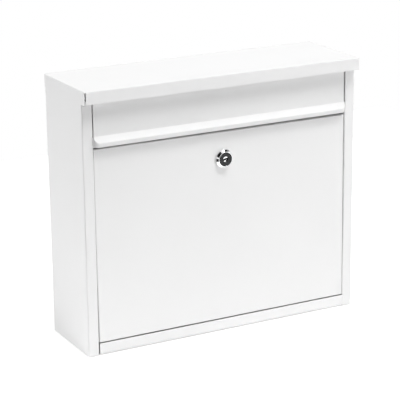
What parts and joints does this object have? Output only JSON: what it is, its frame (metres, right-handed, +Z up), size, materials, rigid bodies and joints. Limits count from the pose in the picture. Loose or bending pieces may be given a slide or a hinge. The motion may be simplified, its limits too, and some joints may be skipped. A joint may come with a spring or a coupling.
{
  "type": "wall mailbox",
  "caption": "Flat-roofed wall mailbox of folded white sheet steel with a hinged letter flap, a drop-down front door and a quarter-turn cam lock.",
  "frame": {"origin": "middle of the outline at the height of the lower wall edges, which it stands on", "axes": "+X to the right seen from the front, +Y towards the wall, +Z up"},
  "size_m": [0.36, 0.1124, 0.3167],
  "materials": {
    "powder_coat": "satin white powder coat",
    "lock_chrome": "polished chrome",
    "lock_dark_nickel": "polished dark nickel",
    "zinc_plated_steel": "bright zinc plating"
  },
  "bodies": {
    "box": {"body_shell": "powder_coat", "roof": "powder_coat", "bottom_pan": "powder_coat", "slot_rail": "powder_coat", "flap_hinge_rod": "zinc_plated_steel", "door_hinge_pin_left": "zinc_plated_steel", "door_hinge_pin_right": "zinc_plated_steel"},
    "flap": {"flap": "powder_coat"},
    "door": {"door": "powder_coat", "lock_housing": "lock_chrome", "lock_nut": "zinc_plated_steel"},
    "lock": {"lock_plug": "lock_dark_nickel", "lock_stop_washer": "zinc_plated_steel", "lock_cam": "zinc_plated_steel", "cam_washer": "zinc_plated_steel", "cam_screw": "zinc_plated_steel"}
  },
  "joints": [
    {"name": "flap_hinge", "type": "hinge", "parent": "box", "child": "flap", "pos_m": [0, -0.04005, 0.3047], "axis": [-1, 0, 0], "range_deg": [0, 55]},
    {"name": "door_hinge", "type": "hinge", "parent": "box", "child": "door", "pos_m": [0, -0.03555, 0.0244], "axis": [1, 0, 0], "range_deg": [0, 90]},
    {"name": "lock_turn", "type": "hinge", "parent": "door", "child": "lock", "pos_m": [0, -0.04555, 0.214], "axis": [0, 1, 0], "range_deg": [0, 90]}
  ]
}
